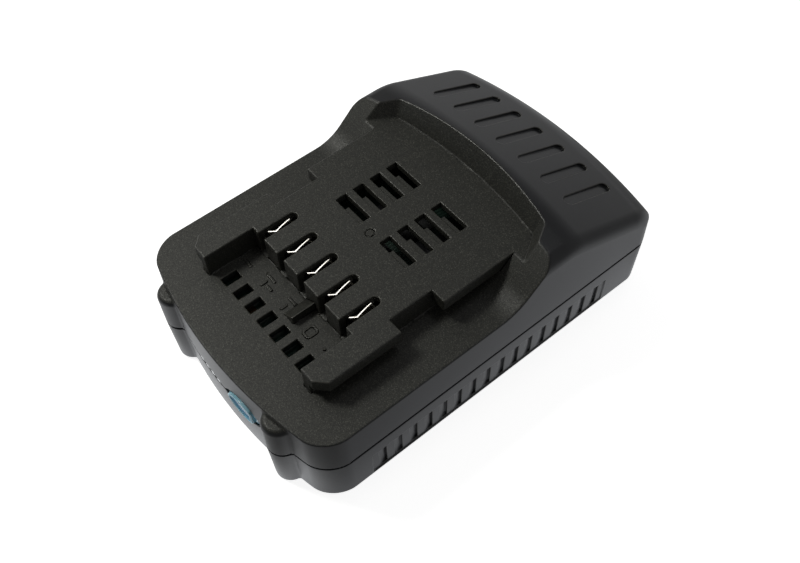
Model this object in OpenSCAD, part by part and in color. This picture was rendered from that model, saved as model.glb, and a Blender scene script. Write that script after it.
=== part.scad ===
// Slide-on battery pack for cordless tools: a two-part case screwed together from below,
// five round cells lying across it, a control board with five spring contacts under a rail
// platform, and a charge gauge with a push button in the front wall.
// Millimetres. X runs across, Y from the gauge end to the hump end, Z up.
// The origin is the middle of the underside.

/* [Cells] */
// Diameter of one cell
cell_d = 18.4; // [18:0.1:21]
// Length of one cell
cell_l = 65; // [63:0.5:71]
// Radial clearance of a cell in its holder bore
cell_clear = 0.1; // [0.05:0.05:0.3]
// Diameter of a cell's raised positive cap
cap_d = 8.6; // [8:0.1:10]
// Height of a cell's raised positive cap
cap_h = 1.2; // [0.8:0.1:2]

/* [Cell holders] */
// Plastic between two neighbouring bores
cell_web = 0.6; // [0.4:0.1:2]
// Plastic over and under the bores
holder_skin = 0.8; // [0.6:0.1:2]
// Plastic past the first and last bore
holder_end = 1; // [0.6:0.1:3]
// Plate that stops the cell ends
holder_plate = 0.6; // [0.4:0.1:1.2]
// How far a holder reaches in from the cell ends
holder_depth = 14; // [10:0.5:28]
// Thickness of the nickel strips
strip_t = 0.2; // [0.1:0.05:0.4]
// Width of the nickel strips
strip_w = 8; // [6:0.5:10]
// Thickness of the insulating sheets
sheet_t = 0.3; // [0.2:0.05:0.6]

/* [Case] */
// Wall thickness
wall = 2; // [1.6:0.1:2.4]
// Floor thickness of the tray
floor_t = 2; // [1.6:0.1:4]
// Height of the parting line above the underside
tray_h = 15.5; // [14:0.5:18]
// Room beside the cell group
side_room = 2.4; // [1.5:0.1:8]
// Room in front of the cell group, for the gauge
front_room = 8.9; // [8.6:0.1:16]
// Room behind the cell group, for the rear screws
rear_room = 8.4; // [8.2:0.1:14]
// Room above the control board
board_room = 1.6; // [1.6:0.1:6]
// Radius of the bowed front and rear walls
bow_r = 133; // [110:1:300]
// Radius of the upright case corners
corner_r = 8; // [6:0.5:10]
// How far each tray wall leans in at the underside
tray_draft = 1; // [0.2:0.1:1.2]
// How far the upper walls lean in at the deck
deck_draft = 0.2; // [0.1:0.1:0.8]
// Bevel around the underside
foot_bevel = 1.5; // [0.4:0.1:2]
// Height of the tongue that locates the two halves
tongue_h = 1.2; // [0.6:0.1:3]

/* [Side grooves] */
// Number of upright grooves on each side of the tray
rib_count = 16; // [4:1:18]
// Distance between two grooves
rib_pitch = 4.85; // [3:0.05:5.2]
// Width of a groove
rib_w = 1.5; // [0.8:0.1:2.5]
// Depth of a groove
rib_depth = 0.6; // [0.2:0.1:0.8]
// Height of the grooves above the underside
rib_h = 10.2; // [6:0.2:13]

/* [Screw bosses] */
// Distance of the front bosses from the middle
boss_x = 22.9; // [21:0.1:26]
// Radius of the front bosses
boss_r = 4.25; // [3.8:0.05:5]
// How far the front bosses stand out of the front wall
boss_proud = 0.9; // [0.4:0.1:2]
// Edge radius at the ends of the front bosses
boss_edge = 1.5; // [0.5:0.1:2]
// Distance of the rear bosses from the middle
rear_boss_x = 27; // [22:0.5:28]
// Radius of the rear bosses
rear_boss_r = 3.4; // [3.2:0.1:3.8]
// Radius of the case screws
screw_r = 1.45; // [1.2:0.05:1.6]
// Head radius of the case screws
head_r = 2.4; // [2.2:0.1:2.6]
// Head height of the case screws
head_h = 2; // [1.4:0.1:3]
// Plastic under the head of a case screw
screw_seat = 4.5; // [3:0.1:6]
// Thread length in the upper case
screw_bite = 7; // [5:0.5:9]

/* [Rail platform] */
// Height of the platform above the deck
rail_h = 7.2; // [6.5:0.1:10]
// Width over the two rail lips
lip_w = 54.8; // [52:0.1:58]
// Width of the platform below the lips
rail_base_w = 46; // [45:0.1:48]
// Thickness of the rail lips
lip_t = 3.8; // [2.4:0.1:4.5]
// Gap between the two arms
arm_gap = 40.5; // [40:0.1:41]
// Front wall to the front of the arms
arm_set = 12.9; // [10:0.1:13]
// Bevel at the front corners of the arms
arm_bevel = 2.8; // [1:0.1:4]
// Front wall to the face that carries the contact slots
face_set = 27.3; // [24:0.1:29]
// Front wall to the front of the lip notches
notch_set = 36.4; // [34:0.1:38]
// Length of the lip notches
notch_l = 12.7; // [8:0.1:14]

/* [Contacts] */
// Distance between two contact slots
slot_pitch = 8.385; // [7.8:0.005:8.6]
// Width of a contact slot
slot_w = 2.62; // [2.4:0.02:3.2]
// Length of a contact slot
slot_l = 10.95; // [9:0.05:13]
// Sheet thickness of the contact springs
spring_t = 0.4; // [0.3:0.05:0.5]
// Gap between the two leaves where they pinch
pinch = 0.5; // [0.3:0.05:0.6]
// How much lower the right leaf stands
leaf_step = 1.6; // [0.5:0.1:3]

/* [Recess] */
// Number of small windows in the recess floor
window_count = 7; // [3:1:7]
// Distance between two windows
window_pitch = 5.33; // [4:0.01:5.5]
// Width of a window
window_w = 2.75; // [2:0.05:3.4]
// Length of a window
window_l = 4.5; // [3:0.1:5.5]
// Front wall to the front of the windows
window_set = 14.25; // [13.5:0.05:16]
// Height of the wedge-shaped key on the recess floor
key_h = 2.8; // [1.5:0.1:4]
// Width of the key
key_w = 3.9; // [2:0.1:4.5]
// Middle of the platform to the upright face of the key
key_x = 5.2; // [4.5:0.1:6.5]
// Length of the key in front of the platform
key_l = 6.8; // [4:0.1:7]

/* [Vents] */
// Number of vents in each of the two rows
vent_count = 4; // [2:1:4]
// Distance between two vents
vent_pitch = 5.485; // [4.5:0.005:6]
// Width of a vent
vent_w = 3.24; // [2:0.02:3.6]
// Length of a vent
vent_l = 10.1; // [8:0.1:12]
// Distance of the vents from the middle line
vent_gap = 3.95; // [2:0.05:6]
// Front wall to the front of the first vent
vent_set = 48.4; // [46:0.1:52]

/* [Hump] */
// Rear wall to the crest of the hump
crest_set = 34.1; // [32:0.1:38]
// Height of the crest above the platform
crest_h = 5.9; // [4:0.1:7]
// Slope of the hump's top towards the rear, in degrees
hump_slope = 21.8; // [18:0.2:24]
// Radius of the rounding down to the rear wall
rear_round = 13.8; // [10:0.1:15]
// Radius of the crown across the hump's slope
crown_r = 160; // [140:5:400]
// Radius of the crown across the hump's crest
crest_r = 240; // [200:5:400]
// Radius of the hump's shoulders
shoulder_r = 5; // [2:0.1:6]
// Rear wall to the start of the ramps beside the platform
ramp_set = 60.4; // [58:0.1:62]
// Radius at the foot of the ramps
ramp_r = 13; // [10:0.1:16]
// Slope of the ramps above their foot, in degrees
ramp_slope = 42; // [35:1:55]
// Rear wall to the foot of the hump's front face
front_set = 37.4; // [36:0.1:39]
// Lean of the hump's front face, in degrees
front_lean = 27; // [15:1:35]
// Half the width of the hump's front face
front_half = 26.4; // [22:0.1:28]
// Turn of the two end facets of the front face, in degrees
facet_turn = 57; // [40:1:70]
// Number of finger grooves on the hump
groove_count = 7; // [3:1:7]
// Distance between two finger grooves
groove_pitch = 8.33; // [6:0.01:8.6]
// Width of a finger groove
groove_w = 2.9; // [1.6:0.1:4]
// Length of a finger groove
groove_l = 16.3; // [10:0.1:18]
// Depth of a finger groove at its rear end
groove_depth = 1.2; // [0.4:0.1:1.6]
// Rear wall to the rear end of the finger grooves
groove_set = 11.4; // [10:0.1:14]

/* [Gauge] */
// Sideways place of the gauge button
button_x = 10.2; // [9.5:0.1:10.6]
// Width of the button
button_w = 13; // [10:0.1:13.5]
// Height of the button
button_h = 7.4; // [5:0.1:8]
// How far the button stands out of the front wall
button_proud = 0.5; // [0.2:0.1:1]
// Travel of the button
button_travel = 0.5; // [0.2:0.05:0.6]
// Clearance around the button
button_clear = 0.25; // [0.15:0.05:0.4]
// Thickness of the flange that keeps the button in
flange_t = 1; // [0.6:0.1:1.2]
// How far the flange is wider than the button
flange_rim = 1; // [0.6:0.1:1.1]
// Number of gauge lights
led_count = 4; // [2:1:4]
// Distance between two gauge lights
led_pitch = 2.7; // [2.4:0.1:2.8]
// Sideways place of the light next to the button
led_x = -0.4; // [-1.5:0.1:0]
// Width of a light window
led_w = 1.6; // [1:0.1:1.8]
// Height of a light window
led_h = 1.2; // [0.8:0.1:2]

/* [Boards] */
// Thickness of the control board
board_t = 1.6; // [1:0.1:2]
// Width of the control board
board_w = 58; // [56:1:62]
// Length of the control board
board_l = 62; // [60:1:70]
// Screw hole to the edge of the control board
board_margin = 4; // [3:0.5:6]
// Radius of the board screws
board_screw_r = 1.2; // [1:0.1:1.4]
// Head radius of the board screws
board_head_r = 2.2; // [1.8:0.1:2.4]
// Head height of the board screws
board_head_h = 1.2; // [0.8:0.1:1.4]
// Depth of the board screws in the holders
board_bite = 3.3; // [2:0.1:4]
// Thickness of the gauge board
gauge_t = 1; // [0.8:0.1:1.2]
// Gauge board past the button and the lights
gauge_margin = 0.8; // [0.4:0.1:1]
// Width of the ribbon cable
ribbon_w = 8; // [4:0.5:9]
// Thickness of the ribbon cable
ribbon_t = 0.2; // [0.1:0.05:0.4]
// Depth of the switch body
switch_t = 3; // [2.5:0.1:3.2]
// Width and height of the switch body
switch_w = 6; // [4.5:0.1:6.5]
// Radius of the switch plunger
plunger_r = 1.5; // [1:0.1:2]
// Length of the switch plunger in front of its body
plunger_l = 1.1; // [1:0.1:1.5]

/* [Board parts] */
// Width of the control chip
chip_w = 10; // [6:0.5:14]
// Length of the control chip
chip_l = 4; // [3:0.5:6]
// Height of the control chip
chip_t = 1.5; // [0.8:0.1:2]
// Width of a power transistor
power_w = 6.6; // [5:0.1:7]
// Length of a power transistor's body
power_l = 6.1; // [5:0.1:7]
// Height of a power transistor's body
power_t = 2.3; // [1.5:0.1:3]
// Gap between two power transistors
power_gap = 1.4; // [0.8:0.1:3]
// Radius of the temperature sensor
sensor_r = 1.5; // [1:0.1:2]

/* [Hidden] */
$fn = 96;
cell_count = 5;
contact_count = 5;
fit = 0.1;
big = 300;

// Cell group
bore_d = cell_d + 2 * cell_clear;
pitch = bore_d + cell_web;
holder_l = cell_count * bore_d + (cell_count - 1) * cell_web + 2 * holder_end;
holder_h = bore_d + 2 * holder_skin;
holder_x = cell_l / 2 + holder_plate;
strip_x = holder_x + strip_t;

// Case
half_w = strip_x + sheet_t + side_room + wall;
case_l = 2 * wall + front_room + holder_l + rear_room;
y_rear = (case_l + boss_proud) / 2;
y_front = y_rear - case_l;
holder_y = y_front + wall + front_room;
cell_z = floor_t + holder_skin + bore_d / 2;
board_z = floor_t + holder_h;
board_top = board_z + board_t;
deck_z = board_top + board_room + wall;
rail_z = deck_z + rail_h;
corner_x = half_w - corner_r;
corner_reach = sqrt(pow(bow_r - corner_r, 2) - pow(corner_x, 2));
front_axis = y_front + bow_r;
rear_axis = y_rear - bow_r;

// Screw bosses
boss_y = y_front - boss_proud + boss_r;
boss_gap = 0.6;
rear_boss_y = holder_y + holder_l + boss_gap + rear_boss_r;
head_z = tray_h - screw_seat;
boss_top = deck_z - 0.8;

// Rail platform
arm_y = y_front + arm_set;
face_y = y_front + face_set;
slot_end = face_y + slot_l;
notch_y = y_front + notch_set;
window_y = y_front + window_set;
ceiling_z = rail_z - wall;

// Hump
crest_y = y_rear - crest_set;
crest_z = rail_z + crest_h;
ramp_y = y_rear - ramp_set;
ramp_lead = 1.5;
ramp_z = deck_z + sqrt(pow(ramp_r, 2) - pow(ramp_lead, 2));
ramp_foot = ramp_y - ramp_lead;
ramp_touch = [ramp_foot + ramp_r * sin(ramp_slope), ramp_z - ramp_r * cos(ramp_slope)];
ramp_end = ramp_touch.x + (rail_z - ramp_touch.y) / tan(ramp_slope);
front_y = y_rear - front_set;
round_y = bow_r - rear_round;
round_top = round_y + rear_round * sin(hump_slope);
round_z = hump_z(round_top) - rear_round * cos(hump_slope);
groove_end = y_rear - groove_set;

// Gauge stack, from the front wall inwards
gauge_z = tray_h;
flange_y = y_front + wall + 1.5;
plunger_y = flange_y + flange_t + fit;
switch_y = plunger_y + plunger_l;
gauge_y = switch_y + switch_t;
led_t = 0.8;
gauge_left = led_x - (led_count - 1) * led_pitch - led_w / 2 - 4 * gauge_margin;
gauge_right = button_x + button_w / 2 + gauge_margin;
plunger_hidden = 0.6;

// Control board
board_y = holder_y + 2;
// The rear screws go into the last plastic between two bores that lies under the board
rear_web = floor((board_y + board_l - board_margin - cell_y(0) - pitch / 2) / pitch);

// Colours
plastic_black = "#2a2b2d";
holder_grey = "#3b4046";
cell_blue = "#3d6f9e";
nickel = "#c9c8c2";
fibre = "#d8d2c0";
board_green = "#1f5a38";
steel = "#9a9a9a";
button_blue = "#3f9cc4";

// Height of the hump's top on the middle line, by distance from the axis of the rear bow
function hump_z(reach) = crest_z - (reach + rear_axis - crest_y) * tan(hump_slope);

// Y of the middle of a cell, counted from the front
function cell_y(i) = holder_y + holder_end + bore_d / 2 + i * pitch;

// X of a contact slot, counted from the left
function slot_x(i) = (i - (contact_count - 1) / 2) * slot_pitch;

// Plan outline of the case, drawn in by an inset
module outline(inset = 0) {
    tangent_x = corner_x * (bow_r - inset) / (bow_r - corner_r);
    intersection() {
        translate([0, front_axis]) circle(bow_r - inset, $fn = 360);
        translate([0, rear_axis]) circle(bow_r - inset, $fn = 360);
        translate([-tangent_x, y_front]) square([2 * tangent_x, case_l]);
    }
    translate([inset - half_w, front_axis - corner_reach])
        square([2 * (half_w - inset), rear_axis - front_axis + 2 * corner_reach]);
    for (x = [-corner_x, corner_x]) {
        translate([x, front_axis - corner_reach]) circle(corner_r - inset);
        translate([x, rear_axis + corner_reach]) circle(corner_r - inset);
    }
}

// A box from its low corner to its high corner
module span(low, high) {
    translate(low) cube(high - low);
}

// The same thing on both sides of the middle plane
module both_sides() {
    children();
    mirror([1, 0, 0]) children();
}

// A drum along Y with its front end at the given place
module drum_y(x, y, z, r, l) {
    translate([x, y, z]) rotate([-90, 0, 0]) cylinder(r = r, h = l);
}

// Pointed eye of two crossing arcs, as wide and high as given
module eye(w, h) {
    r = (w * w + h * h) / (4 * h);
    intersection() {
        translate([0, r - h / 2]) circle(r);
        translate([0, h / 2 - r]) circle(r);
    }
}

// The eye as a bar along Y, at the gauge button
module eye_bar(w, h, y0, y1) {
    translate([button_x, y1, gauge_z]) rotate([90, 0, 0]) linear_extrude(y1 - y0) eye(w, h);
}

// Upright at each of the four screws
module at_screws() {
    for (side = [-1, 1]) {
        translate([side * boss_x, boss_y, 0]) children();
        translate([side * rear_boss_x, rear_boss_y, 0]) children();
    }
}

// The solid posts around the four screws, over the given heights
module boss_posts(z0, z1) {
    for (side = [-1, 1]) {
        translate([side * boss_x, boss_y, z0]) cylinder(r = boss_r, h = z1 - z0);
        translate([side * rear_boss_x, rear_boss_y, z0]) cylinder(r = rear_boss_r, h = z1 - z0);
    }
}

// Round post with a rounded top edge
module round_post(h) {
    rotate_extrude() {
        square([boss_r, h - boss_edge]);
        square([boss_r - boss_edge, h]);
        intersection() {
            translate([boss_r - boss_edge, h - boss_edge]) circle(boss_edge);
            square([boss_r, h]);
        }
    }
}

// Openings in the front wall for the button and the lights
module gauge_openings() {
    eye_bar(button_w + 2 * button_clear, button_h + 2 * button_clear, y_front - 2, flange_y);
    for (k = [0 : led_count - 1])
        translate([led_x - k * led_pitch - led_w / 2, y_front - 2, gauge_z - led_h / 2])
            cube([led_w, wall + 4, led_h]);
}

// Case: hump and platform of the upper half

// Top limit of the hump: a sloping, bowed top that rounds over into the rear wall
module bowed_top(inset = 0) {
    drop = inset / cos(hump_slope);
    translate([0, rear_axis, 0]) rotate_extrude($fn = 360) intersection() {
        union() {
            translate([round_y, round_z]) circle(rear_round - inset);
            polygon([
                [0, 0], [bow_r - inset, 0], [bow_r - inset, round_z],
                [round_y + (rear_round - inset) * sin(hump_slope),
                 round_z + (rear_round - inset) * cos(hump_slope)],
                [0, hump_z(0) - drop]
            ]);
        }
        translate([0, tray_h - 1]) square([bow_r, big]);
    }
}

// Cross limit of the hump: a crown with rounded shoulders, swept along the slope
module crowned_top(inset = 0) {
    w = half_w - deck_draft + 0.15 - inset;
    r = crown_r - inset;
    s = max(shoulder_r - inset, 0.5);
    shoulder_z = sqrt(pow(r - s, 2) - pow(w - s, 2)) - crown_r;
    tangent_x = (w - s) * r / (r - s);
    translate([0, crest_y, crest_z]) rotate([90 - hump_slope, 0, 0]) translate([0, 0, -big / 2])
        linear_extrude(big) {
            intersection() {
                translate([0, -crown_r]) circle(r, $fn = 360);
                translate([-tangent_x, -big / 2]) square([2 * tangent_x, big]);
            }
            translate([-w - 5, -big / 2]) square([2 * w + 10, shoulder_z + big / 2]);
            for (side = [-1, 1])
                translate([side * (w - s), shoulder_z]) circle(s);
        }
}

// Level crown that ends the slope at the crest
module crest_drum(inset = 0) {
    translate([0, big / 2, crest_z - crest_r]) rotate([90, 0, 0])
        cylinder(r = crest_r - inset, h = big, $fn = 360);
}

// Bevels along the shoulders of the crest
module crest_bevels() {
    s = shoulder_r;
    side = [
        [big / 2, 0], [big / 2, tray_h], [half_w + 0.08 * s, crest_z - 1.68 * s],
        [half_w - 0.28 * s, crest_z - 0.84 * s], [half_w - 1.92 * s, crest_z - 0.04 * s],
        [half_w - 1.92 * s, crest_z + s]
    ];
    translate([0, big / 2, 0]) rotate([90, 0, 0]) linear_extrude(big)
        polygon(concat(side, [for (k = [5 : -1 : 0]) [-side[k][0], side[k][1]]]));
}

// Limit of the leaning long sides of the upper half
module leaning_sides() {
    top = big / 2;
    low = half_w - 0.02;
    high = low - deck_draft * (top - tray_h) / (deck_z - tray_h);
    translate([0, big / 2, 0]) rotate([90, 0, 0]) linear_extrude(big) polygon([
        [-low, tray_h - 1], [low, tray_h - 1], [low, tray_h], [high, top], [-high, top], [-low, tray_h]
    ]);
}

// Limit of the leaning front wall of the upper half
module leaning_front() {
    top = big / 2;
    low = bow_r - 0.02;
    high = low - deck_draft * (top - tray_h) / (deck_z - tray_h);
    translate([0, front_axis, tray_h]) cylinder(r1 = low, r2 = high, h = top - tray_h, $fn = 360);
}

// What is cut away above the deck and the ramps
module ramp_cut() {
    climb = big / 4;
    from_y = ramp_foot + (ramp_r - 0.02) * sin(ramp_slope);
    from_z = ramp_z - (ramp_r - 0.02) * cos(ramp_slope);
    top_z = from_z + climb * sin(ramp_slope);
    span([-big / 2, y_front - 5, deck_z], [big / 2, ramp_y, big]);
    translate([-big / 2, ramp_foot, ramp_z]) rotate([0, 90, 0])
        cylinder(r = ramp_r, h = big, $fn = 180);
    translate([-big / 2, 0, 0]) rotate([90, 0, 90]) linear_extrude(big) polygon([
        [ramp_foot, ramp_z], [from_y, from_z], [from_y + climb * cos(ramp_slope), top_z], [ramp_foot, top_z]
    ]);
}

// One leaning end facet of the hump's front face, as a half space
module facet_space() {
    sag = front_y - (bow_r - sqrt(pow(bow_r, 2) - pow(front_half, 2)));
    translate([front_half, sag, rail_z]) rotate([0, 0, 90 - facet_turn]) rotate([0, front_lean, 0])
        translate([-big, -big / 2, -big / 2]) cube(big);
}

// What is cut away above the platform, in front of the hump's front face
module pocket_cut() {
    lean = tan(front_lean);
    depth = crest_h + 8;
    intersection() {
        translate([0, front_y - bow_r, rail_z])
            cylinder(r1 = bow_r, r2 = bow_r + depth * lean, h = depth, $fn = 360);
        facet_space();
        mirror([1, 0, 0]) facet_space();
        span([-half_w, ramp_y, rail_z], [half_w, y_rear, rail_z + depth]);
    }
}

// Finger grooves that get deeper towards the rear
module finger_grooves() {
    tilt = atan(groove_depth / groove_l);
    for (k = [0 : groove_count - 1]) {
        x = (k - (groove_count - 1) / 2) * groove_pitch;
        crown_drop = (crown_r - sqrt(crown_r * crown_r - x * x)) / cos(hump_slope);
        end_z = crest_z - (groove_end - crest_y) * tan(hump_slope) - crown_drop;
        translate([x, groove_end, end_z]) rotate([-hump_slope - tilt, 0, 0])
            translate([0, -groove_w / 2, -groove_depth * 0.9]) linear_extrude(8) {
                circle(groove_w / 2);
                translate([-groove_w / 2, -groove_l]) square([groove_w, groove_l]);
            }
    }
}

// Plan of the rail platform with its two arms, as wide as given
module rail_plan(w) {
    bevel = max(0, arm_bevel - (lip_w - w) / 2);
    rear = ramp_end + 1;
    polygon([
        [-w / 2, arm_y + bevel], [bevel - w / 2, arm_y], [-arm_gap / 2, arm_y],
        [-arm_gap / 2, face_y], [arm_gap / 2, face_y],
        [arm_gap / 2, arm_y], [w / 2 - bevel, arm_y], [w / 2, arm_y + bevel],
        [w / 2, rear], [-w / 2, rear]
    ]);
}

// Platform with the lips that a tool's rails hook under
module rails() {
    translate([0, 0, deck_z - 0.5]) linear_extrude(rail_h + 0.5) rail_plan(rail_base_w);
    difference() {
        translate([0, 0, rail_z - lip_t]) linear_extrude(lip_t) rail_plan(lip_w);
        both_sides()
            span([rail_base_w / 2, notch_y, deck_z], [half_w, notch_y + notch_l, rail_z + 1]);
    }
}

module contact_slots() {
    for (i = [0 : contact_count - 1])
        translate([slot_x(i), 0, deck_z]) linear_extrude(rail_h + 1) {
            translate([0, slot_end - slot_w / 2]) circle(slot_w / 2);
            translate([-slot_w / 2, face_y - 1]) square([slot_w, slot_l + 1 - slot_w / 2]);
        }
}

module recess_windows() {
    for (i = [0 : window_count - 1])
        translate([(i - (window_count - 1) / 2) * window_pitch - window_w / 2, window_y, deck_z - wall - 1])
            cube([window_w, window_l, wall + 2]);
}

// Vents with a ledge just below the surface along part of their front edge
module vents() {
    ledge_share = 0.66;
    ledge_drop = 1;
    for (x = [vent_gap, -vent_gap - vent_l])
        for (k = [0 : vent_count - 1])
            translate([x, y_front + vent_set + k * vent_pitch, ceiling_z - 1]) difference() {
                cube([vent_l, vent_w, wall + 2]);
                translate([vent_l * (1 - ledge_share), 0, 0])
                    cube([vent_l, vent_w / 2, wall + 1 - ledge_drop]);
            }
}

// Key on the recess floor: a wedge with one upright face, which keeps other plugs out
module recess_key() {
    sunk = 0.5;
    left = key_x - key_w;
    translate([0, face_y + sunk, 0]) rotate([90, 0, 0]) linear_extrude(key_l + sunk) polygon([
        [left, deck_z - sunk], [key_x, deck_z - sunk], [key_x, deck_z + key_h], [left, deck_z]
    ]);
}

module upper_outer() {
    difference() {
        intersection() {
            translate([0, 0, tray_h]) linear_extrude(big / 2) outline();
            leaning_sides();
            leaning_front();
            bowed_top();
            crowned_top();
            crest_drum();
            crest_bevels();
        }
        ramp_cut();
        pocket_cut();
        finger_grooves();
    }
    for (side = [-1, 1])
        translate([side * boss_x, boss_y, tray_h]) round_post(boss_top - tray_h);
    rails();
    recess_key();
}

// Hollow inside of the upper case, and the rebate for the tray's tongue
module upper_cavity() {
    inner_x = rail_base_w / 2 - wall;
    hump_x = half_w - wall - shoulder_r;
    back_y = front_y + 3 * wall;
    intersection() {
        translate([0, 0, tray_h - 1]) linear_extrude(big / 2) outline(wall);
        bowed_top(wall);
        crowned_top(wall);
        crest_drum(wall);
        union() {
            span([-half_w, y_front, tray_h - 1], [half_w, y_rear, deck_z - wall]);
            span([-inner_x, face_y + wall, tray_h], [inner_x, front_y, ceiling_z]);
            span([-hump_x, ramp_end + wall, tray_h], [hump_x, back_y, ceiling_z]);
            span([-hump_x, back_y - 1, tray_h], [hump_x, y_rear, big / 2]);
        }
    }
    translate([0, 0, tray_h - 1]) linear_extrude(1 + tongue_h + 2 * fit) outline(wall / 2);
}

module upper_case() {
    color(plastic_black) difference() {
        upper_outer();
        difference() {
            upper_cavity();
            boss_posts(tray_h, deck_z);
        }
        at_screws() translate([0, 0, tray_h - 1]) cylinder(r = screw_r + fit / 2, h = screw_bite + 2);
        contact_slots();
        recess_windows();
        vents();
        gauge_openings();
    }
}

// Case: tray

// Limits of the leaning long sides and end walls of the tray, with the bevel at the foot
function tray_edge(reach) = [
    [reach - 0.02, tray_h + 1], [reach - 0.02, tray_h],
    [reach - tray_draft, foot_bevel], [reach - tray_draft - foot_bevel, 0]
];

module lower_outer() {
    edge = tray_edge(half_w);
    intersection() {
        linear_extrude(tray_h) outline();
        translate([0, big / 2, 0]) rotate([90, 0, 0]) linear_extrude(big)
            polygon(concat(edge, [for (k = [3 : -1 : 0]) [-edge[k][0], edge[k][1]]]));
        for (axis_y = [front_axis, rear_axis])
            translate([0, axis_y, 0]) rotate_extrude($fn = 360)
                polygon(concat(tray_edge(bow_r), [[0, 0], [0, tray_h + 1]]));
    }
    for (side = [-1, 1])
        translate([side * boss_x, boss_y, tray_h]) mirror([0, 0, 1]) round_post(tray_h);
}

module side_grooves() {
    for (k = [0 : rib_count - 1]) {
        y = (k - (rib_count - 1) / 2) * rib_pitch - rib_w / 2;
        both_sides()
            translate([half_w - tray_draft - rib_depth, y, -1])
                cube([wall, rib_w, rib_h + 1]);
    }
}

// Tongue around the rim, with gaps at the screw bosses
module tongue() {
    difference() {
        translate([0, 0, tray_h - 1]) linear_extrude(1 + tongue_h) difference() {
            outline(wall / 2 + fit);
            outline(wall);
        }
        boss_posts_clear = 0.3;
        for (side = [-1, 1]) {
            translate([side * boss_x, boss_y, tray_h]) cylinder(r = boss_r + boss_posts_clear, h = big);
            translate([side * rear_boss_x, rear_boss_y, tray_h])
                cylinder(r = rear_boss_r + boss_posts_clear, h = big);
        }
    }
}

// Small posts that hold the gauge board upright
module gauge_posts() {
    post_w = 3;
    post_h = 6;
    post_t = 0.8;
    for (x = [-8, 13])
        for (y = [gauge_y - fit - post_t, gauge_y + gauge_t])
            translate([x - post_w / 2, y, floor_t - 0.5]) cube([post_w, post_t, post_h]);
}

module lower_case() {
    color(plastic_black) difference() {
        union() {
            difference() {
                lower_outer();
                difference() {
                    translate([0, 0, floor_t]) linear_extrude(tray_h) outline(wall);
                    boss_posts(0, tray_h);
                }
                side_grooves();
            }
            tongue();
            gauge_posts();
        }
        at_screws() {
            translate([0, 0, -1]) cylinder(r = head_r + 2 * fit, h = head_z + 1);
            cylinder(r = screw_r + 2 * fit, h = tray_h + 1);
        }
        gauge_openings();
    }
}

module case_screws() {
    recess_r = 1.2;
    color(steel) at_screws() difference() {
        union() {
            translate([0, 0, head_z - head_h]) cylinder(r = head_r, h = head_h);
            translate([0, 0, head_z]) cylinder(r = screw_r, h = screw_seat + screw_bite);
        }
        translate([0, 0, head_z - head_h - 1]) cylinder(r = recess_r, h = 1 + head_h / 2, $fn = 6);
    }
}

// Gauge

module gauge_button() {
    color(button_blue) {
        intersection() {
            eye_bar(button_w, button_h, y_front - 3, flange_y + flange_t / 2);
            translate([0, front_axis, 0]) cylinder(r = bow_r + button_proud, h = big, $fn = 360);
        }
        eye_bar(button_w + 2 * flange_rim, button_h + 2 * flange_rim, flange_y, flange_y + flange_t);
    }
}

module light_pipe() {
    bar_h = 2.2 * led_h;
    pipe_end = gauge_y - led_t - fit;
    color("#e8eef2") intersection() {
        union() {
            for (k = [0 : led_count - 1]) {
                x = led_x - k * led_pitch - (led_w - fit) / 2;
                translate([x, y_front - 1, gauge_z - (led_h - fit) / 2])
                    cube([led_w - fit, pipe_end - y_front, led_h - fit]);
            }
            span([led_x - (led_count - 1) * led_pitch - led_w, flange_y, gauge_z - bar_h / 2],
                 [led_x + led_w, pipe_end, gauge_z + bar_h / 2]);
        }
        translate([0, front_axis, 0]) cylinder(r = bow_r - fit, h = big, $fn = 360);
    }
}

module gauge_board() {
    color(board_green)
        span([gauge_left, gauge_y, floor_t], [gauge_right, gauge_y + gauge_t, board_z - board_t / 2]);
}

module gauge_leds() {
    color("#f2f0dc") for (k = [0 : led_count - 1])
        translate([led_x - k * led_pitch - led_w / 2, gauge_y - led_t, gauge_z - led_h / 2])
            cube([led_w, led_t, led_h]);
}

module switch_body() {
    half = switch_w / 2;
    color("#26282b") difference() {
        span([button_x - half, switch_y, gauge_z - half], [button_x + half, gauge_y, gauge_z + half]);
        drum_y(button_x, switch_y - 1, gauge_z, plunger_r + fit, 1 + plunger_hidden + button_travel + fit);
    }
}

module switch_plunger() {
    color("#b9b2a0") drum_y(button_x, plunger_y, gauge_z, plunger_r, plunger_l + plunger_hidden);
}

// Flat ribbon from the back of the gauge board over the front edge of the control board
module gauge_ribbon() {
    ribbon_y = gauge_y + gauge_t;
    left = gauge_left + gauge_margin;
    color("#b98b3c") {
        span([left, ribbon_y, gauge_z], [left + ribbon_w, ribbon_y + ribbon_t, board_top + ribbon_t]);
        span([left, ribbon_y, board_top], [left + ribbon_w, board_y + ribbon_w / 2, board_top + ribbon_t]);
    }
}

// Cell group

module holder_right() {
    color(holder_grey) difference() {
        span([holder_x - holder_depth, holder_y, floor_t], [holder_x, holder_y + holder_l, board_z]);
        for (i = [0 : cell_count - 1]) {
            translate([0, cell_y(i), cell_z]) rotate([0, 90, 0]) cylinder(d = bore_d, h = cell_l / 2);
            translate([0, cell_y(i), cell_z]) rotate([0, 90, 0]) cylinder(d = bore_d - 4, h = big);
        }
        board_screw_places() translate([0, 0, -fit]) cylinder(r = board_screw_r + fit / 2, h = big);
    }
}

module holder_left() {
    mirror([1, 0, 0]) holder_right();
}

// Cells lie head to tail, so every second one is turned round
module cell(i) {
    turn = i % 2 == 0 ? 90 : -90;
    color(cell_blue) translate([0, cell_y(i), cell_z]) rotate([0, turn, 0]) {
        translate([0, 0, -cell_l / 2]) cylinder(d = cell_d, h = cell_l - cap_h);
        translate([0, 0, cell_l / 2 - cap_h]) cylinder(d = cap_d, h = cap_h);
    }
}

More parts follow.
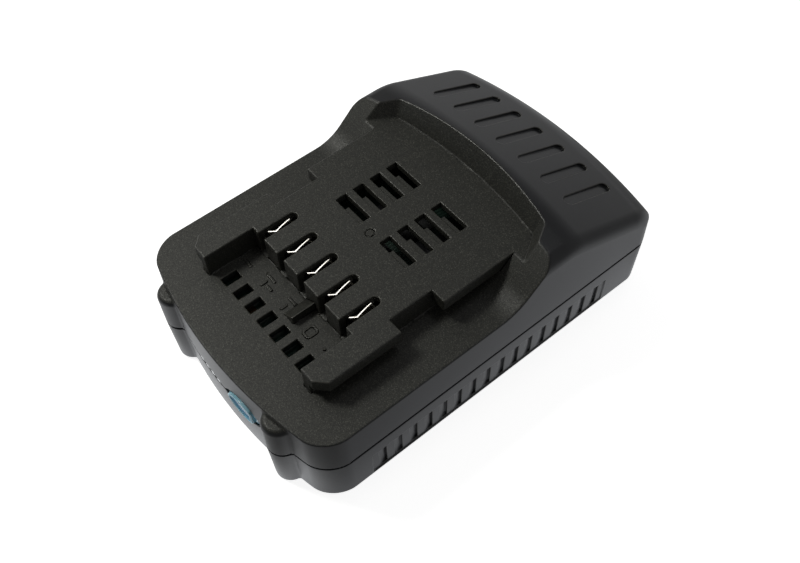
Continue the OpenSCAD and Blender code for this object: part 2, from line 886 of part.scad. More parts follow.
// One nickel strip over cells a to b, with weld pads through the holder's end plate
module strip(a, b) {
    span([holder_x, cell_y(a) - strip_w / 2, cell_z - strip_w / 2],
         [strip_x, cell_y(b) + strip_w / 2, cell_z + strip_w / 2]);
    for (i = [a : b])
        translate([cell_l / 2, cell_y(i), cell_z]) rotate([0, 90, 0])
            cylinder(d = cap_d - 1, h = holder_plate + strip_t / 2);
    tab_w = strip_w * 0.75;
    tab_y = cell_y(b) - tab_w / 2;
    span([holder_x, tab_y, cell_z], [strip_x, tab_y + tab_w, board_top + strip_t]);
    if (tab_y + tab_w < board_y + board_l)
        span([board_w / 2 - 3, tab_y, board_top], [strip_x, tab_y + tab_w, board_top + strip_t]);
}

module strips_right() {
    color(nickel) {
        strip(0, 0);
        strip(1, 2);
        strip(3, 4);
    }
}

module strips_left() {
    color(nickel) mirror([1, 0, 0]) {
        strip(0, 1);
        strip(2, 3);
        strip(4, 4);
    }
}

module sheet_right() {
    color(fibre) span([strip_x, holder_y, floor_t], [strip_x + sheet_t, holder_y + holder_l, board_z]);
}

module sheet_left() {
    mirror([1, 0, 0]) sheet_right();
}

// Control board

// Lower ends of the board screws, in the plastic between two bores of the holders
module board_screw_places() {
    for (side = [-1, 1])
        for (i = [0, rear_web])
            translate([side * (board_w / 2 - board_margin), cell_y(i) + pitch / 2, board_z - board_bite])
                children();
}

module control_board() {
    color(board_green) difference() {
        span([-board_w / 2, board_y, board_z], [board_w / 2, board_y + board_l, board_top]);
        board_screw_places() cylinder(r = board_screw_r + fit, h = big);
    }
}

module board_screws() {
    color(steel) board_screw_places() {
        cylinder(r = board_screw_r, h = board_bite + board_t);
        translate([0, 0, board_bite + board_t]) cylinder(r = board_head_r, h = board_head_h);
    }
}

module control_chip() {
    chip_y = block_rear + 2 * chip_l;
    color("#1c1d1f")
        span([-chip_w / 2, chip_y, board_top], [chip_w / 2, chip_y + chip_l, board_top + chip_t]);
}

// Three power transistors with their heat tabs to the rear
module power_transistors() {
    tab_t = power_t / 4;
    tab_w = power_w * 0.8;
    row_w = 3 * power_w + 2 * power_gap;
    row_y = board_y + board_l - 2 * board_margin - 1.5 * power_l;
    color("#1c1d1f") for (k = [0 : 2])
        translate([k * (power_w + power_gap) - row_w / 2, row_y, board_top]) {
            cube([power_w, power_l, power_t]);
            translate([(power_w - tab_w) / 2, power_l / 2, 0]) cube([tab_w, power_l, tab_t]);
        }
}

module thermistor() {
    color("#2f6f4f") translate([0, cell_y(2), cell_z + cell_d / 2])
        cylinder(r = sensor_r, h = board_z - cell_z - cell_d / 2);
}

// Contacts

block_front = face_y + wall + 0.4;
block_rear = slot_end + 3;
block_half = rail_base_w / 2 - wall - 2 * boss_gap;
spring_z = board_top + 1.2;
spring_top = ceiling_z + 0.2;

module terminal_block() {
    color("#1d1e20") difference() {
        span([-block_half, block_front, board_top], [block_half, block_rear, ceiling_z - 0.4]);
        for (i = [0 : contact_count - 1])
            span([slot_x(i) - slot_w / 2 - 0.2, block_front - 1, spring_z],
                 [slot_x(i) + slot_w / 2 + 0.2, slot_end + 0.5, big / 2]);
    }
}

// One leaf of a contact, on its right side and as high as given
module contact_leaf(h) {
    back_x = slot_w / 2 - spring_t - 0.05;
    mouth_x = slot_w / 2 - spring_t - 0.15;
    back_y = slot_end - 0.9;
    mouth_y = block_front + 0.3;
    pinch_y = block_front + 2.6;
    translate([0, 0, spring_z]) linear_extrude(h) polygon([
        [back_x, back_y], [pinch / 2, pinch_y], [mouth_x, mouth_y],
        [mouth_x + spring_t, mouth_y], [pinch / 2 + spring_t, pinch_y], [back_x + spring_t, back_y]
    ]);
}

// One contact: two leaves that pinch a blade near the front, joined at the back and below
module contact(i) {
    outer = slot_w / 2 - 0.05;
    leaf_back = slot_end - 0.9;
    pinch_y = block_front + 2.6;
    color(nickel) translate([slot_x(i), 0, 0]) {
        contact_leaf(spring_top - spring_z - leaf_step);
        mirror([1, 0, 0]) contact_leaf(spring_top - spring_z);
        span([-outer, leaf_back - spring_t, spring_z], [outer, leaf_back, spring_top - leaf_step]);
        span([-outer, pinch_y, spring_z], [outer, leaf_back, spring_z + spring_t]);
    }
}

upper_case();
lower_case();
case_screws();
gauge_button();
light_pipe();
gauge_board();
gauge_leds();
switch_body();
switch_plunger();
gauge_ribbon();
holder_left();
holder_right();
for (i = [0 : cell_count - 1])
    cell(i);
strips_left();
strips_right();
sheet_left();
sheet_right();
control_board();
board_screws();
control_chip();
power_transistors();
thermistor();
terminal_block();
for (i = [0 : contact_count - 1])
    contact(i);
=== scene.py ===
import bpy
import numpy as np
from mathutils import Matrix


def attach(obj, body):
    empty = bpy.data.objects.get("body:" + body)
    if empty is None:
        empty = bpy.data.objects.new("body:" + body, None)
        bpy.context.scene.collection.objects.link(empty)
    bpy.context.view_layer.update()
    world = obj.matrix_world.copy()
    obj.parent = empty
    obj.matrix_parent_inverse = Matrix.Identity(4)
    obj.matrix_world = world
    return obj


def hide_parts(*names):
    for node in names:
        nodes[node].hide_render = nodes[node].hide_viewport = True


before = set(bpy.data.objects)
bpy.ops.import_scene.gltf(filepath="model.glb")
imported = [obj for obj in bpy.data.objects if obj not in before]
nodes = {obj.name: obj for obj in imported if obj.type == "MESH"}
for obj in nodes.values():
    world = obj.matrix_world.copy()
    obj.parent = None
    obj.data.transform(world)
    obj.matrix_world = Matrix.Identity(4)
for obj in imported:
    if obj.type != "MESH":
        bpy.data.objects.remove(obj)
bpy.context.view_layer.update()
scene = bpy.context.scene

# Metres in a millimetre, and millimetres in a metre: the case is worked out in millimetres
MM = 0.001
PER_M = 1000

# Edge radii: fine ribs, cut openings, plain edges, rail tops, soft blends, deck, foot, seam, marks, hump's shoulder
R_FINE = 0.15
R_CUT = 0.2
R_EDGE = 0.25
R_TOP = 0.3
R_SOFT = 0.6
R_DECK = 0.4
R_FOOT = 1.0
R_SEAM = 0.14
R_MARK = 0.12
R_SHOULDER = 3.4

# Levels: parting line and half its gap, deck, rail tops, ceiling inside, and how deep the deck's openings go
SPLIT = 15.5
SEAM = 0.26
DECK = 27.4
RAIL = 34.6
ROOF = 25.4
CUT_Z = 20

# Walls: half width, arcs of the front and rear, corners, drafts above and below the seam; thickness of each half
HALF_W = 38
END_R = 133
FRONT_Y = 74.1
REAR_Y = -73.2
CORNER_R = 6.6
CORNER_LOSS = 1.9
SIDE_DRAFT = (0.012, 0.015)
FRONT_DRAFT = (0.03, 0.015)
REAR_DRAFT = 0.05
UPPER_WALL = 2.2
LOWER_WALL = 2

# Tongue of the lower half inside the upper one: how far in it starts, and its levels
TONGUE_IN = 1.1
TONGUE_Z = (14, 16.6)

# Hump: its arc in plan, the turn at its rear, its crown across, its crest and the slope of its top
SWEEP_Y = -153.2
SWEEP_R = 199.2
TURN_Y = 46
TURN_Z = 17.5
TURN_R = 13.8
CROWN = 720
CREST_CROWN = 480
CREST = 40.7
CREST_BLEND = 1.2
SLOPE_S = np.sin(np.radians(21.8))
SLOPE_C = np.cos(np.radians(21.8))

# Ramps up to the hump: radius and place of the foot, place where they pass the rail tops, slope
RAMP_R = 13.0
RAMP_Y = -0.6
RAMP_TOP = 12.4
RAMP_T = np.radians(42.0)

# Pocket behind the platform: lean of its walls, arc of its rear and the slanting facets at its ends
LEAN = np.radians(27.8)
POCKET_Y = 22.35
POCKET_R = 135
FACET_X = 26.4
FACET_Y = 19.8
FACET_WAY = (0.838, 0.545)

# Rails: half widths over the lips, under them and between the arms; ends, platform's front, underside of the lips
LIP_X = 27.41
BASE_X = 23.03
ARM_X = 20.27
ARM_Y = -46.08
RAIL_END = 15
FACE_Y = -31.67
LIP_Z = 30.8
BEVEL_X = 24.6
BEVEL_Y = -46.05
BEVEL_WAY = (0.70, -0.714)
NOTCH_Y = -16.2
NOTCH_HALF = 6.36

# Screws: front bosses and rear posts as place and radius, draft and top of the bosses, holes
BOSS = (22.9, -55.45, 4.43)
BOSS_DRAFT = 0.016
BOSS_TOP = 26.6
REAR_POST = (27.0, 53.4, 3.4)
SCREW_Y = -55.55
PILOT_R = 1.5
PILOT_Z = 23
HEAD_R = 2.7
HEAD_Z = 11
SHANK_R = 1.75

# Key on the recess floor: its sides, its ends, the rise of its top and the cosine of that slope
KEY_X = (1.3, 5.2)
KEY_Y = (-38.45, -31)
KEY_RISE = 0.718
KEY_COS = 0.812

# Plain marks on the recess floor: bars and a ring as place and half sizes, a dot, and how they stand on the deck
MARKS = ((-17.05, -36.75, 1.65, 0.34), (-9.2, -34.9, 1.65, 0.34), (-9.3, -37.2, 0.34, 1.05),
         (-7.2, -37.0, 1.2, 0.34), (-0.3, -34.9, 1.5, 0.34), (-0.17, -37.4, 0.34, 1.0))
RING = (9.82, -36.6, 1.2, 1.55)
RING_R = 0.75
RING_HALF = 0.28
DOT = (15.83, -36.85, 0.38)
MARK_DROP = 0.1
MARK_HALF = 0.42

# Room under the platform: half width, ends, ceiling
TOWER_X = 21
TOWER_Y = (-29.67, 20)
TOWER_Z = 32.6

# Contact slots: count, pitch, half width, centre of the round end, front
CONTACTS = 5
SLOT_PITCH = 8.385
SLOT_R = 1.3125
SLOT_REAR = -22.05
SLOT_FRONT = -31.95

# Deck windows: count, pitch, place, half sizes
WINDOWS = 7
WINDOW_PITCH = 5.33
WINDOW_Y = -42.4
WINDOW_HALF = (1.375, 2.25)

# Vents in two columns: rows, pitch, place, half sizes, and the step inside
VENTS = 4
VENT_PITCH = 5.485
VENT_X = 9.0
VENT_Y = -0.64
VENT_HALF = (5.06, 1.62)
STEP_X = -1.7
STEP_Z = 33.5

# Ring left by the mould's gate: place, radius, half width
GATE_Y = -10.4
GATE_R = 1.15
GATE_HALF = 0.2

# Finger grooves: count, pitch, centres of the round ends, half width, depth in front and its gain towards the rear
FINGERS = 7
FINGER_PITCH = 8.335
FINGER_Y = (33.4, 46.85)
FINGER_R = 1.45
FINGER_DEEP = (0.55, 0.3)

# Line of the hump's top from front to rear: its start, height, fall and end, and its bow across
LINE_Y = 25.7
LINE_Z = 40.5
LINE_FALL = 0.4
LINE_END = 51.13
LINE_BOW = 400

# Gauge: the button hole's size and place, the light windows' count, pitch, place and half sizes, depth of both
HOLE_W = 14.4
HOLE_H = 7.9
HOLE_X = 9.7
LIGHTS = 4
LIGHT_PITCH = 2.7
LIGHT_X = -4.45
LIGHT_HALF = (1.0, 0.85)
GAUGE_Y = -53

# Side panels and their upright grooves: places, half sizes, depths
PANEL_Y = -1.3
PANEL_Z = 5.9
PANEL_HALF = (39.6, 4.5)
PANEL_DEEP = 0.3
GROOVES = 16
GROOVE_PITCH = 4.845
GROOVE_Y = -1.38
GROOVE_HALF = (1.15, 4.2)
GROOVE_RAMP = 0.7

# Button: place, half distance and radius of its two arcs, the pad's place and half width, its front and back
BUTTON_X = 10.2
BUTTON_OFF = 3.86
BUTTON_R = 7.56
PAD_X = 9.0
PAD_HALF = 4.7
BUTTON_FRONT = 133.5
BUTTON_BACK = -54.9

# Dish in the button's pad, and how far the plate lies behind the pad's front; flange behind the plate
DISH_IN = 0.75
DISH_DEEP = 0.45
PLATE_SET = 1.0
FLANGE_OUT = 1.0
FLANGE_HALF = 0.5


# Rounded meeting of two distances: where a and b meet the edge gets radius r
def rint(a, b, r):
    u = np.maximum(a + r, 0)
    v = np.maximum(b + r, 0)
    return np.minimum(np.maximum(a, b), -r) + np.sqrt(u * u + v * v)


# Rounded joining of two solids, with a hollow corner of radius r
def runi(a, b, r):
    return -rint(-a, -b, r)


# Soft maximum over a band k wide
def smax(a, b, k):
    h = np.maximum(k - np.abs(a - b), 0) / k
    return np.maximum(a, b) + h * h * k / 4


# Distance from the nearest of n equal places, centred on zero
def near(v, pitch, n):
    half = (n - 1) / 2
    return v - pitch * np.clip(np.round(v / pitch + half), 0, n - 1) + pitch * half


# Smooth rise from 0 at a to 1 at b
def rise(a, b, v):
    t = np.clip((v - a) / (b - a), 0, 1)
    return t * t * (3 - 2 * t)


# Flat bar in plan, centred at (cx, cy)
def bar(x, y, cx, cy, half_x, half_y):
    return np.maximum(np.abs(x - cx) - half_x, np.abs(y - cy) - half_y)


# Height of the hump's rear slope, which the finger grooves follow
def slope_top(x, y):
    v = y + x * x / LINE_BOW
    round_end = TURN_Z + np.sqrt(np.maximum(TURN_R ** 2 - (v - TURN_Y) ** 2, 0))
    return np.where(v < LINE_END, LINE_Z - LINE_FALL * (v - LINE_Y), round_end) - x * x / CROWN


# Upright walls of both halves, with their draft: the side, the whole plan and the rear
def walls(x, y, z):
    up = np.maximum(z - SPLIT, 0)
    dn = np.maximum(SPLIT - z, 0)
    side = np.abs(x) - (HALF_W - SIDE_DRAFT[0] * up - SIDE_DRAFT[1] * dn)
    front = np.hypot(x, y - FRONT_Y) - (END_R - FRONT_DRAFT[0] * up - FRONT_DRAFT[1] * dn)
    rear = np.hypot(x, y - REAR_Y) - (END_R - REAR_DRAFT * dn)
    corner = CORNER_R - CORNER_LOSS * rise(10, 45, y)
    return side, rint(side, np.maximum(front, rear), corner), rear


# Outside of the upper half before anything is cut from it, with its plan and its top
def hump(x, y, z):
    side, plan, rear = walls(x, y, z)
    q1 = np.hypot(x, y - SWEEP_Y) - SWEEP_R
    q2 = z + x * x / CROWN - TURN_Z
    slope = q1 * SLOPE_S + q2 * SLOPE_C
    turn = np.where(q1 * SLOPE_C - q2 * SLOPE_S > 0, np.hypot(q1, q2), slope)
    top = np.where(q2 < 0, q1, turn) - TURN_R
    top = smax(top, z + x * x / CREST_CROWN - CREST, CREST_BLEND)
    return np.maximum(rint(rint(top, side, R_SHOULDER), rear, R_SOFT), plan), plan, top


# Front screw bosses, with their draft
def bosses(ax, y, z):
    return np.hypot(ax - BOSS[0], y - BOSS[1]) - BOSS[2] + BOSS_DRAFT * np.abs(z - SPLIT)


# Bosses and rear posts, which stay solid inside
def screw_posts(ax, y, z):
    return np.minimum(bosses(ax, y, z), np.hypot(ax - REAR_POST[0], y - REAR_POST[1]) - REAR_POST[2])


# How far a point is from the nearest screw's middle line
def screw_axis(ax, y):
    return np.minimum(np.hypot(ax - BOSS[0], y - SCREW_Y), np.hypot(ax - REAR_POST[0], y - REAR_POST[1]))


# Gauge openings in the front wall: the lens-shaped button hole and four light windows
def gauge_holes(x, y, z):
    r = (HOLE_W * HOLE_W + HOLE_H * HOLE_H) / (4 * HOLE_H)
    off = r - HOLE_H / 2
    ex, ez = x - HOLE_X, z - SPLIT
    eye = np.maximum(np.hypot(ex, ez - off), np.hypot(ex, ez + off)) - r
    light_x = near(x - LIGHT_X, LIGHT_PITCH, LIGHTS)
    light = np.maximum(np.abs(light_x) - LIGHT_HALF[0], np.abs(ez) - LIGHT_HALF[1])
    return np.maximum(np.minimum(eye, light), y - GAUGE_Y)


# Upper half of the case
def upper(x, y, z):
    body, plan, top = hump(x, y, z)
    ax = np.abs(x)
    # deck, and the ramps up to the hump
    fy, fz = y - RAMP_Y, z - DECK - RAMP_R
    arc = RAMP_R - np.hypot(fy, fz)
    line = (z - RAIL) * np.cos(RAMP_T) - (y - RAMP_TOP) * np.sin(RAMP_T)
    over = np.where(fy * np.cos(RAMP_T) + fz * np.sin(RAMP_T) > 0, line, arc)
    body = rint(body, np.where(fy <= 0, z - DECK, over), R_DECK)
    # pocket that the tool's nose goes into
    up = (z - RAIL) * np.tan(LEAN)
    face = (np.hypot(x, y - POCKET_Y + POCKET_R) - POCKET_R - up) * np.cos(LEAN)
    facet = ((ax - FACET_X) * FACET_WAY[0] + (y - FACET_Y) * FACET_WAY[1] - up) * np.cos(LEAN)
    pocket = rint(rint(face, facet, 0.5), RAIL - z, 0.35)
    body = rint(body, -pocket, R_TOP)
    # rails with their lips, arms and lock notches
    gap = np.maximum(ax - ARM_X, y - FACE_Y)
    ends = np.maximum(ARM_Y - y, y - RAIL_END)
    bevel = (ax - BEVEL_X) * BEVEL_WAY[0] + (y - BEVEL_Y) * BEVEL_WAY[1]
    lip = rint(np.maximum(np.maximum(ax - LIP_X, ends), bevel), -gap, R_EDGE)
    lip = rint(lip, -np.maximum(BASE_X - ax, np.abs(y - NOTCH_Y) - NOTCH_HALF), R_EDGE)
    lip = np.maximum(rint(lip, z - RAIL, R_TOP), LIP_Z - z)
    base = rint(rint(np.maximum(ax - BASE_X, ends), -gap, R_EDGE), z - RAIL, R_TOP)
    d = runi(body, np.minimum(lip, base), np.clip(RAIL - R_SOFT - z, 0.02, R_TOP))
    d = runi(d, rint(bosses(ax, y, z), z - BOSS_TOP, 1.5), R_SOFT)
    # wedge-shaped key on the recess floor
    key = rint(((z - DECK) - KEY_RISE * (x - KEY_X[0])) * KEY_COS, x - KEY_X[1], R_FINE)
    key = np.maximum(rint(key, KEY_Y[0] - y, R_FINE), np.maximum(y - KEY_Y[1], DECK - 1 - z))
    d = runi(d, key, R_FINE)
    # raised marks on the recess floor
    marks = np.hypot(x - DOT[0], y - DOT[1]) - DOT[2]
    for mark in MARKS:
        marks = np.minimum(marks, bar(x, y, *mark))
    ring = rint(np.abs(x - RING[0]) - RING[2], np.abs(y - RING[1]) - RING[3], RING_R)
    marks = np.minimum(marks, np.abs(ring) - RING_HALF)
    d = np.minimum(d, rint(marks, np.abs(z - DECK + MARK_DROP) - MARK_HALF, R_MARK))
    # hollow inside, with posts for the screws
    hollow = np.maximum(np.maximum(plan, top) + UPPER_WALL, z - ROOF)
    hollow = np.maximum(hollow, -screw_posts(ax, y, z))
    tower = np.maximum(ax - TOWER_X, np.maximum(TOWER_Y[0] - y, y - TOWER_Y[1]))
    tower = np.maximum(tower, np.maximum(z - TOWER_Z, CUT_Z - z))
    d = np.maximum(d, -np.minimum(hollow, tower))
    d = np.maximum(d, -np.maximum(screw_axis(ax, y) - PILOT_R, z - PILOT_Z))
    # slots over the contacts
    sx = near(x, SLOT_PITCH, CONTACTS)
    slot = np.where(y < SLOT_REAR, np.abs(sx) - SLOT_R, np.hypot(sx, y - SLOT_REAR) - SLOT_R)
    slot = np.maximum(np.maximum(slot, DECK - z), SLOT_FRONT - y)
    d = rint(d, -slot, R_EDGE)
    # windows in the deck
    window = bar(near(x, WINDOW_PITCH, WINDOWS), y, 0, WINDOW_Y, *WINDOW_HALF)
    d = rint(d, -np.maximum(window, CUT_Z - z), R_CUT)
    # vents with a step inside each
    vy = near(y - VENT_Y, VENT_PITCH, VENTS)
    vent = np.maximum(bar(ax, vy, VENT_X, 0, *VENT_HALF), CUT_Z - z)
    vx = np.where(x > 0, x - VENT_X, x + VENT_X)
    vent = np.maximum(vent, -np.maximum(np.maximum(STEP_X - vx, vy), z - STEP_Z))
    d = rint(d, -vent, R_CUT)
    # sunk ring in the middle of the platform, 0.15 mm deep
    gate = np.maximum(np.abs(np.hypot(x, y - GATE_Y) - GATE_R) - GATE_HALF, 0.25 - (z - RAIL + 0.4))
    d = rint(d, -gate, R_MARK)
    # finger grooves, which deepen a little towards the rear
    gx = near(x, FINGER_PITCH, FINGERS)
    g = np.where(y < FINGER_Y[0], np.hypot(gx, y - FINGER_Y[0]), np.abs(gx))
    g = np.where(y > FINGER_Y[1], np.hypot(gx, y - FINGER_Y[1]), g)
    deep = FINGER_DEEP[0] + FINGER_DEEP[1] * np.clip((y - 32) / 16.3, 0, 1)
    bottom = (slope_top(x, y) - deep - z) * SLOPE_C
    d = rint(d, -rint(g - FINGER_R, bottom, R_CUT), R_EDGE)
    d = rint(d, -gauge_holes(x, y, z), R_CUT)
    return rint(d, SPLIT + SEAM - z, R_SEAM)


# Lower half of the case
def lower(x, y, z):
    side, plan, rear = walls(x, y, z)
    ax = np.abs(x)
    d = rint(plan, -z, R_FOOT)
    # side panels with upright grooves, whose floors slope
    panel = np.maximum(bar(y, z, PANEL_Y, PANEL_Z, *PANEL_HALF), -(side + PANEL_DEEP))
    d = rint(d, -panel, R_CUT)
    gy = near(y - GROOVE_Y, GROOVE_PITCH, GROOVES)
    deep = PANEL_DEEP + GROOVE_RAMP * np.clip((gy + GROOVE_HALF[0]) / (2 * GROOVE_HALF[0]), 0, 1)
    groove = np.maximum(bar(gy, z, 0, PANEL_Z, *GROOVE_HALF), -(side + deep))
    d = rint(d, -groove, R_CUT)
    d = np.maximum(runi(d, rint(bosses(ax, y, z), -z, R_FOOT), R_SOFT), -z)
    d = rint(d, z - SPLIT + SEAM, R_SEAM)
    # hollow inside, with posts for the screws and a tongue round the rim
    posts = screw_posts(ax, y, z)
    hollow = np.maximum(np.maximum(plan + LOWER_WALL, LOWER_WALL - z), -posts)
    tongue = np.maximum(plan + TONGUE_IN, -(plan + LOWER_WALL))
    tongue = np.maximum(np.maximum(tongue, np.maximum(z - TONGUE_Z[1], TONGUE_Z[0] - z)), -posts)
    d = np.minimum(np.maximum(d, -hollow), tongue)
    # screw seats, kept inside the rear wall
    axis = screw_axis(ax, y)
    seat = np.maximum(axis - HEAD_R, rear + 0.5 + np.clip(1 - z, 0, 1) ** 2)
    d = rint(d, -np.maximum(seat, z - HEAD_Z), R_CUT)
    d = np.maximum(d, -(axis - SHANK_R))
    return rint(d, -gauge_holes(x, y, z), R_CUT)


# Outline of the button and of its pad, and its bowed front
def button_plan(x, y, z):
    ex, ez = x - BUTTON_X, z - SPLIT
    eye = rint(np.hypot(ex, ez - BUTTON_OFF) - BUTTON_R, np.hypot(ex, ez + BUTTON_OFF) - BUTTON_R, 0.5)
    pad = rint(eye, np.abs(x - PAD_X) - PAD_HALF, 0.7)
    return eye, pad, np.hypot(x, y - FRONT_Y) - BUTTON_FRONT


# Gauge button: lens-shaped plate, with a raised pad whose rounded rim runs about a shallow dish
def button(x, y, z):
    eye, pad, front = button_plan(x, y, z)
    d = rint(pad, front, 0.4)
    d = rint(d, -rint(pad + DISH_IN, -(front + DISH_DEEP), R_TOP), R_TOP)
    d = np.minimum(d, rint(eye, front + PLATE_SET, R_CUT))
    d = np.maximum(d, y - BUTTON_BACK)
    return np.minimum(d, np.maximum(eye - FLANGE_OUT, np.abs(y - BUTTON_BACK) - FLANGE_HALF))


# Points and four-sided faces on the zero level of a distance, on a grid with step h
def surface(f, lo, hi, h):
    lo = np.asarray(lo, np.float32)
    block = 8
    n = np.ceil((np.asarray(hi) - lo) / (h * block)).astype(int)
    axes = [lo[i] + h * np.arange(n[i] * block + 1, dtype=np.float32) for i in range(3)]
    mids = [lo[i] + h * block * (np.arange(n[i], dtype=np.float32) + 0.5) for i in range(3)]
    cx, cy, cz = np.meshgrid(*mids, indexing="ij")
    coarse = f(cx.ravel(), cy.ravel(), cz.ravel()).reshape(n)
    grid = np.where(coarse > 0, 9.0, -9.0).astype(np.float32)
    for i in range(3):
        grid = np.repeat(grid, block, i)
    grid = np.pad(grid, ((0, 1),) * 3, mode="edge")
    # only blocks that the surface can pass through are worked out in full
    close = np.argwhere(np.abs(coarse) < h * block * 1.3)
    o = np.arange(block + 1)
    for part in np.array_split(close, max(1, len(close) // 1500)):
        gx, gy, gz = (part[:, i, None] * block + o for i in range(3))
        shape = (len(part), block + 1, block + 1, block + 1)
        px = np.broadcast_to(axes[0][gx][:, :, None, None], shape)
        py = np.broadcast_to(axes[1][gy][:, None, :, None], shape)
        pz = np.broadcast_to(axes[2][gz][:, None, None, :], shape)
        value = f(px.ravel(), py.ravel(), pz.ravel()).reshape(shape)
        grid[gx[:, :, None, None], gy[:, None, :, None], gz[:, None, None, :]] = value
    # one point in each cell that the surface crosses, at the mean of its crossings
    inside = grid < 0
    cells = np.zeros(np.array(grid.shape) - 1, np.int8)
    corners = [(a, b, c) for a in (0, 1) for b in (0, 1) for c in (0, 1)]
    for a, b, c in corners:
        cells += inside[a:a + cells.shape[0], b:b + cells.shape[1], c:c + cells.shape[2]]
    act = np.argwhere((cells > 0) & (cells < 8))
    ids = np.full(cells.shape, -1, np.int64)
    ids[tuple(act.T)] = np.arange(len(act))
    total = np.zeros((len(act), 3))
    count = np.zeros(len(act))
    at = {k: grid[tuple((act + k).T)] for k in corners}
    for k in corners:
        for i in range(3):
            if k[i]:
                continue
            m = tuple(1 if j == i else k[j] for j in range(3))
            cross = (at[k] < 0) != (at[m] < 0)
            p = np.tile(np.array(k, float), (len(act), 1))
            p[:, i] = np.where(cross, at[k] / np.where(cross, at[k] - at[m], 1), 0)
            total += np.where(cross[:, None], p, 0)
            count += cross
    points = lo + h * (act + total / count[:, None])
    # one face across each grid edge that the surface crosses
    faces = []
    for i in range(3):
        j, k = [(1, 2), (2, 0), (0, 1)][i]
        first = [slice(None)] * 3
        second = [slice(None)] * 3
        first[i] = slice(0, -1)
        second[i] = slice(1, None)
        a, b = inside[tuple(first)], inside[tuple(second)]
        e = np.argwhere(a != b)
        for m in (j, k):
            e = e[(e[:, m] > 0) & (e[:, m] < grid.shape[m] - 1)]
        dj = np.eye(3, dtype=int)[j]
        dk = np.eye(3, dtype=int)[k]
        q = np.stack([ids[tuple((e - s).T)] for s in (dj + dk, dk, 0 * dj, dj)], 1)
        flip = ~a[tuple(e.T)]
        q[flip] = q[flip][:, ::-1]
        faces.append(q)
    return points, np.concatenate(faces)


# Direction in which a distance grows, at many points
def slope_of(f, p, e=0.02):
    g = np.zeros_like(p)
    for i in range(3):
        s = np.zeros(3)
        s[i] = e
        g[:, i] = f(*(p + s).T) - f(*(p - s).T)
    return g / (2 * e)


# Points moved onto the zero level
def settle(f, p, rounds, reach=0.3):
    for _ in range(rounds):
        g = slope_of(f, p)
        d = np.clip(f(*p.T), -reach, reach)
        p = p - d[:, None] * g / np.maximum((g * g).sum(1), 0.25)[:, None]
    return p


# Rows of vectors brought to length one
def unit(v):
    return v / (np.linalg.norm(v, axis=1)[:, None] + 1e-12)


# One moulded piece as a mesh object, thinned where it is flat, with the normals of the true surface
def shell(name, f, lo, hi, h, share, grain_and_rim_light, rim, dirt_and_shade):
    p, q = surface(f, lo, hi, h)
    p = settle(f, p, 2)
    raw = bpy.data.meshes.new(name + "_raw")
    raw.from_pydata((p * MM).tolist(), [], q.tolist())
    obj = bpy.data.objects.new(name, raw)
    scene.collection.objects.link(obj)
    thin = obj.modifiers.new("thin", "DECIMATE")
    thin.ratio = share
    thin.use_collapse_triangulate = True
    done = obj.evaluated_get(bpy.context.evaluated_depsgraph_get()).to_mesh()
    p = np.empty(len(done.vertices) * 3)
    done.vertices.foreach_get("co", p)
    done.calc_loop_triangles()
    t = np.empty(len(done.loop_triangles) * 3, np.int32)
    done.loop_triangles.foreach_get("vertices", t)
    p = settle(f, p.reshape(-1, 3) * PER_M, 1)
    t = t.reshape(-1, 3)
    obj.modifiers.clear()
    mesh = bpy.data.meshes.new(name)
    mesh.from_pydata((p * MM).tolist(), [], t.tolist())
    obj.data = mesh
    bpy.data.meshes.remove(raw)
    # a corner's normal is read a little way in from its point, so creases stay sharp
    mid = p[t].mean(1)
    flat = unit(np.cross(p[t[:, 1]] - p[t[:, 0]], p[t[:, 2]] - p[t[:, 0]]))
    normals = np.empty((len(t), 3, 3))
    for c in range(3):
        way = mid - p[t[:, c]]
        far = np.linalg.norm(way, axis=1)[:, None] + 1e-9
        g = unit(slope_of(f, p[t[:, c]] + way * np.minimum(0.35, 0.06 / far), 0.015))
        off = (g * flat).sum(1) < 0.3
        g[off] = flat[off]
        normals[:, c] = g
    mesh.polygons.foreach_set("use_smooth", np.ones(len(t), bool))
    mesh.normals_split_custom_set(normals.reshape(-1, 3).tolist())
    # outer edges come out above zero, for polish and a painted highlight, and inner ones below, for dirt and
    # painted shade; rims lose their polish and painted highlight, and the last mask sets how dark the inner corners
    # get
    bend = np.zeros(len(t))
    for i, j in ((0, 1), (1, 2), (2, 0)):
        step = p[t[:, i]] - p[t[:, j]]
        bend += ((normals[:, i] - normals[:, j]) * step).sum(1) / ((step * step).sum(1) + 1e-6)
    bend = np.clip(bend * 0.2, -1, 1)
    bend *= np.where(bend > 0, 1 - 1.2 * rim(*mid.T), dirt_and_shade(*mid.T))
    for key, value in (("grain_and_rim_light", grain_and_rim_light(*mid.T)), ("edge", bend)):
        mesh.attributes.new(key, "FLOAT", "FACE").data.foreach_set("value", value.astype(np.float32))
    return obj


# Where the mould is spark eroded: every face cut into the hump, and the tops of rails and bosses
def upper_grain(x, y, z):
    body = hump(x, y, z)[0]
    post = bosses(np.abs(x), y, z)
    cut = rise(0.05, 0.3, -body) * rise(26.3, 26.9, z) * (y < 30)
    return np.maximum(cut, rise(25.9, 26.5, z) * rise(-0.3, 0.4, -post) * rise(-0.5, 0.0, body))


# Edges along the seam, which aren't rubbed and get no painted highlight
def seam_rim(x, y, z):
    return 1 - rise(0.4, 0.8, np.abs(z - SPLIT))


# Outer edge of the deck, which the hand doesn't reach, and the seam: their edges get no polish and no painted
# highlight
def deck_rim(x, y, z):
    plan = walls(x, y, z)[1]
    deck = rise(-0.9, -0.4, plan) * rise(26.2, 26.6, z) * (1 - rise(28.0, 29.5, z))
    return np.maximum(deck, seam_rim(x, y, z))


# Dirt and painted shade keep in the corners of the deck and rails, less so in the grooves that fingers rub
def upper_dirt_and_shade(x, y, z):
    return 1 - 0.6 * rise(29.0, 31.0, y)


